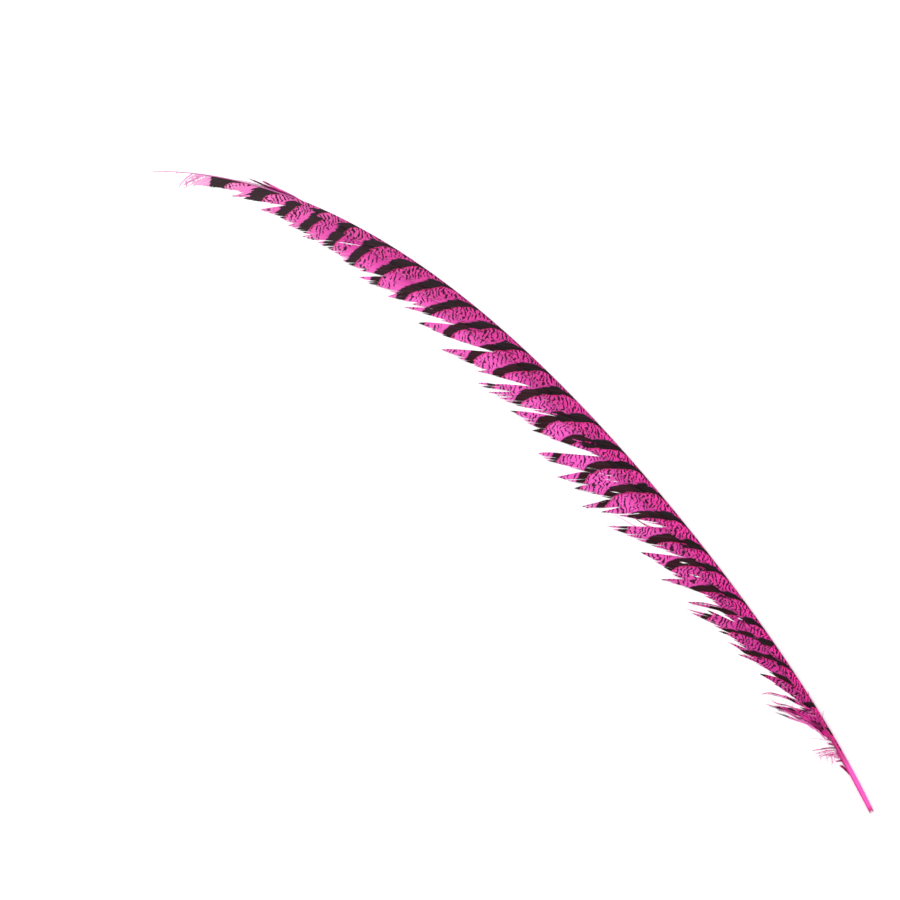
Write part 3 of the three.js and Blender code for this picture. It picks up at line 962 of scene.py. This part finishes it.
# Loose barbs where the far vane starts, at the bend's outer side, at the tip, and beside the far
# lobes at 280 to 320 mm and 700 to 736 mm. A row is explained in build_wisps.
LOOSE_BARBS = (
    ((93.8, 3.2, 98.6, 6.6, 105.4, 9.6, 111, 13, 115.2, 16.6, 119.6, 20.4, 123.9, 24.4, 126.5, 28,
     127.7, 33), 10, 1.6, 1.7, 0.65, 0.6, 0.15, 0.55, (0.03, 0.13, 0.9), (0.2, 0.28, 0.8),
     (0.36, 0.46, 1), (0.72, 0.78, 0.8)),
    ((96.6, 5.2, 104.2, 10.4, 110.2, 13.6, 117.8, 18), 9, 0.8, 1.6, 0.7, 0.4, 0.1, 0.2, (0.5, 0.98, 1)),
    ((93.1, 3.9, 96.6, 8.1, 102.6, 14.5, 108.8, 18.8, 113.2, 23.4, 117.2, 26.8, 122.1, 26.6), 4, 0.8,
     0.9, 0.5, 0.8, 0.2, 0.3, (0.1, 0.26, 0.9), (0.6, 0.72, 0.8)),
    ((80, 4, 88.3, 9.6, 96, 13.6, 101.8, 18, 107.8, 23, 112.6, 27.4, 118.5, 32.5, 122.1, 34.9), 9, 2.6,
     1.5, 0.66, 0.8, 0.15, 0.15, (0, 0.2, 1), (0.44, 0.52, 0.7), (0.66, 0.84, 1)),
    ((78, 6.4, 84, 8.6, 90, 11.2, 96, 14.3, 102, 18.6, 108, 23.6, 113, 28.4), 5, 0.6, 0.9, 0.5, 1.1,
     0.1, 0.1, (-0.1, 1.1, 0.85)),
    ((69.5, 7, 78.5, 8.6, 84.7, 11.4, 90.3, 14.6, 97.4, 18.2, 105.4, 22.6, 110, 26.6, 113.6, 29.8), 6,
     0.7, 2.2, 0.5, 0.6, 0.15, 0.7, (0.5, 0.62, 0.7), (0.84, 0.94, 0.9)),
    ((79.1, 8.7, 84.7, 11.6, 89.5, 14.9, 96.6, 20.6, 103.8, 25.6, 108.4, 29, 111.6, 30.6), 4, 0.6, 1.4,
     0.5, 0.5, 0.2, 0.5, (0.64, 0.9, 1)),
    ((81.3, 11.2, 87.9, 13.9, 93.1, 16.9, 97.8, 21.4, 103.2, 25.9), 3, 0.5, 1.4, 0.4, 0.4, 0.2, 0.9,
     (0.6, 0.75, 0.5)),
    ((100.5, 14.5, 104.4, 16.6, 106.2, 15.8, 107.2, 14.3), 2, 0.3, 0.3, 0.4, 0.4, 0.1, 0.6),
    ((66.6, 5, 71.5, 10.7, 74.9, 14.9, 77.7, 20.9), 2, 0.2, 0.5, 0.24, 0.3, 0.15, 1),
    ((88.5, 1, 90, 4, 94, 8, 97, 11.5), 6, 3, 3, 0.5, 0.3, 0.1, 0.6),
    ((70, 3.6, 78, 6, 86, 9, 94, 12.5), 10, 3, 4, 0.56, 0.3, 0.1, 0.3, (0.24, 0.52, 0.95)),
    ((85, 0.6, 86.5, -0.6, 88.1, -1.7, 89.9, -3.9), 2, 0.2, 0.8, 0.3, 0.2, 0.1, 0.9),
    ((104, 0.8, 105.6, 0, 107.6, -0.5, 108.6, -1.5), 2, 0.2, 0.5, 0.3, 0.2, 0.1, 0.6),
    ((47, 1.2, 46, 0.4, 45.2, -0.8, 44.2, -2.1), 1, 0.1, 0.1, 0.2, 0.2, 0.1, 1),
    ((676, 1.4, 688, 0.2, 703.4, -0.9, 714.5, -1.8, 726.5, -3.9), 9, 0.6, 0.6, 1.35, 0.8, 0.05, 0.1,
     (0.1, 0.94, 1)),
    ((680, 1, 688.8, -0.6, 700.8, -1.9, 709.7, -3.4, 716.1, -4.6), 8, 0.8, 0.9, 1.1, 0.8, 0.05, 0.4,
     (0.16, 0.5, 0.5), (0.8, 0.9, 0.9)),
    ((690, 0.9, 705.4, -0.1, 716.7, -0.5, 726.7, -0.6, 736.1, -0.3), 4, 0.7, 0.5, 0.5, 0.7, 0.05, 0.3,
     (0.05, 0.7, 0.9)),
    ((721.5, 9.7, 726, 10.8, 731, 12, 736.4, 13), 5, 0.7, 0.9, 0.8, 0.4, 0.05, 0.85, (0.46, 0.58, 0.5),
     (0.8, 1, 0.7)),
    ((791.6, 0.1, 794, 2.6, 796.4, 5.9, 797.6, 8.8), 1, 0.1, 0.1, 0.22, 0.1, 0.1, 1.1),
    ((782.5, 0.1, 783.4, 1, 784.1, 1.8), 1, 0.1, 0.1, 0.55, 0, 0, 1, (0.3, 1, 0.4)),
    ((778.9, 0, 779.4, 0.7, 779.9, 1.3), 1, 0.1, 0.1, 0.55, 0, 0, 0.9),
    ((770.7, 0.3, 775.9, 4.9, 779.7, 9.3, 782.1, 13.5), 3, 0.6, 0.5, 0.4, 0.2, 0.1, 1.2),
    ((763.1, 0.3, 769.6, 5.1, 775.3, 8.6, 779.3, 10.9), 6, 1.4, 1.9, 0.5, 0.2, 0.1, 1.2),
    ((289.1, 22.4, 294.5, 25.2, 299.5, 26.6, 306.3, 28.3), 2, 0.3, 0.7, 0.45, 0.6, 0.1, 0.3,
     (0.4, 0.8, 1)),
    ((279, 10.3, 284, 17, 291, 22.6, 300, 27), 3, 0.6, 0.8, 0.4, 0.5, 0.1, 0.3),
    ((297.9, 31.1, 302.9, 33.3, 309.4, 35.5, 317.6, 38.8), 2, 0.3, 0.4, 0.35, 0.6, 0.1, 0.8),
    ((306.3, 41.1, 311.2, 44.7, 316.4, 46.8, 323, 49.8), 1, 0.2, 0.3, 0.25, 0.6, 0.1, 1),
    ((700, 14.6, 703.4, 15.8, 706.6, 16.6, 709.8, 17.4), 5, 1.4, 0.8, 0.8, 0.5, 0.05, 0.8,
     (0.24, 0.5, 1), (0.85, 1, 0.5)),
)

# The down: tufts along the shaft, and curls tangled between them
DOWN_TUFTS = (
    ((33, 3.2, 38, 4.2, 42, 5.4, 45.6, 7), 22, 0.9, 1.9, 0.5, 0.4, 0.1, 0, (-0.1, 0.9, 0.75)),
    ((40, 3.4, 46, 3.7, 52, 4.1, 58, 4.5), 14, 0.8, 1.4, 0.45, 0.3, 0.1, 0.1, (0.05, 0.3, 0.8),
     (0.5, 0.65, 0.6)),
    ((59.6, 4, 61.5, 8, 63.2, 12, 65, 16.5, 66.4, 20.8), 4, 0.9, 0.9, 0.62, 0.8, 0.15, 0.45,
     (-0.1, 0.24, 1), (0.34, 0.6, 0.8)),
    ((58.4, 4, 60.4, 8.6, 62, 12.6, 63.2, 16.2, 63.8, 20), 2, 1.2, 1.6, 0.46, 1, 0.35, 0.4,
     (-0.1, 0.14, 0.9)),
    ((56, 3.8, 58, 8.5, 60.2, 11.8, 60.8, 15.4, 60, 19.4), 2, 1, 1.8, 0.42, 1.2, 0.45, 0.6),
    ((53.8, 3.8, 55.6, 7.8, 57.8, 11.6, 58.8, 15.5, 58, 18.8), 3, 0.7, 1.2, 0.52, 1, 0.35, 0.35,
     (0.05, 0.18, 0.5)),
    ((52, 3.8, 53.4, 7.2, 55.4, 10, 56.2, 13, 55, 16), 2, 0.8, 1.6, 0.36, 0.8, 0.5, 0.6),
    ((57.6, 7, 54.6, 10, 51.6, 10.6, 49.4, 12, 49, 13.4), 2, 0.8, 1.2, 0.36, 0.8, 0.4, 0.6),
    ((55, 5, 52.6, 8, 50.8, 9.8, 51.6, 12.4, 54.6, 14.2), 1, 0.6, 1, 0.3, 0.8, 0.45, 0.8),
    ((62, 12, 58.6, 13.6, 55.4, 13.2, 52.4, 14.8), 1, 0.6, 1, 0.3, 1, 0.4, 0.7),
    ((63, 16, 60, 17.4, 57, 17.6, 56, 19.4), 2, 0.6, 1.4, 0.3, 1, 0.4, 0.7),
    ((47.2, 3.6, 48.2, 5.6, 49.2, 8, 50, 9.6), 7, 1, 1.3, 0.46, 0.5, 0.2, 0.3, (-0.1, 0.62, 0.8)),
    ((50, 3.6, 52, 5.8, 53.6, 7.8), 5, 1, 2, 0.34, 0.6, 0.3, 0.6),
    ((62.4, 3.9, 64, 5.6, 65.8, 8), 8, 1, 1.8, 0.4, 0.5, 0.15, 0.45, (-0.1, 0.5, 0.7)),
)

FAR_PINKS = (
    (0.0, "#D23A90"), (0.15, "#E0449E"), (0.27, "#F054B2"), (0.45, "#FF64CC"), (0.75, "#FC68C6"),
    (0.9, "#FA80C8"), (0.935, "#F79CD0"), (0.955, "#F6AED8"), (1.0, "#F8C6E4"),
)
NEAR_PINKS = (
    (0.0, "#D8288E"), (0.15, "#F0329E"), (0.3, "#FF3EAE"), (0.45, "#F642AA"), (0.55, "#E741A2"),
    (0.75, "#E54AA2"), (0.86, "#E26AAE"), (1.0, "#F090C8"),
)
FAR_DARKS = (
    (0.0, "#280B13"), (0.3, "#300D16"), (0.6, "#36141D"), (0.8, "#35222A"), (1.0, "#3A2A2C"),
)
NEAR_DARKS = (
    (0.0, "#220A12"), (0.3, "#1E0B11"), (0.6, "#221017"), (0.85, "#33242A"), (1.0, "#3C2C2E"),
)

build_shaft()

far = lay_vane(FAR_LOBES, FAR_END, root_share=0.9, rings=14, tip_length=1.5)
far["line"] = part_barbs(far["line"], SLITS, False)
far["line"] = part_barbs(far["line"], FINGER_GAPS, True)
build_vane(
    "far_barbs", far, far_heights(far), FAR_BARS, NEAR_BARS,
    barb_finish("far_web", FAR_PINKS, FAR_DARKS, "#2E0618", 1.0, 0, painted_sheen_share=0.1),
    "far_web", "far_vane",
)

near = lay_vane(NEAR_LOBES, NEAR_END, root_share=0.12, rings=11, tip_length=1.2)
build_vane(
    "near_barbs", near, near_heights(near), NEAR_BARS, FAR_BARS,
    barb_finish("near_web", NEAR_PINKS, NEAR_DARKS, "#240515", 5.0, 0.35, painted_sheen_share=0.55),
    "near_web", "near_vane",
)

build_wisps("loose_barbs", LOOSE_BARBS, "far_web")
build_wisps("down_wisp", DOWN_TUFTS, "down", "down")


# ---- floor, light and camera


def build_floor():
    """A plain pale floor, as a thin closed slab whose top is at height zero."""
    half = 3.0
    corners = [(x, y, z) for z in (-0.01, 0.0) for x, y in (
        (-half, -half), (half, -half), (half, half), (-half, half))]
    faces = [(3, 2, 1, 0), (4, 5, 6, 7)]
    faces += [(side, (side + 1) % 4, (side + 1) % 4 + 4, side + 4) for side in range(4)]
    mesh = bpy.data.meshes.new("floor")
    mesh.from_pydata(corners, [], faces)
    mesh.materials.append(floor_finish())
    add_object("floor", mesh)


def build_light():
    """A white surround and one large soft lamp, high up on the left."""
    world = bpy.data.worlds.new("surround")
    world.use_nodes = True
    background = world.node_tree.nodes["Background"]
    background.inputs["Color"].default_value = (1, 1, 1, 1)
    background.inputs["Strength"].default_value = 0.95
    bpy.context.scene.world = world
    lamp = bpy.data.lights.new("soft_box", "AREA")
    lamp.shape = "SQUARE"
    lamp.size = 1.6
    lamp.energy = 26
    holder = add_object("soft_box", lamp)
    holder.location = (-0.9, 0.7, 1.8)
    holder.rotation_euler = (math.radians(-21), math.radians(-26), 0)
    bpy.context.scene.view_settings.view_transform = "Standard"


CAMERA_HEIGHT = 1.6
CAMERA_OVER = (-0.0504, 0.0335)
SENSOR = 36.0
LENS = 80.0


def build_camera():
    """The camera looks straight down on the feather."""
    lens = bpy.data.cameras.new("camera")
    lens.sensor_width = SENSOR
    lens.lens = LENS
    camera = add_object("camera", lens)
    camera.location = (*CAMERA_OVER, CAMERA_HEIGHT)
    bpy.context.scene.camera = camera


build_floor()
build_light()
build_camera()
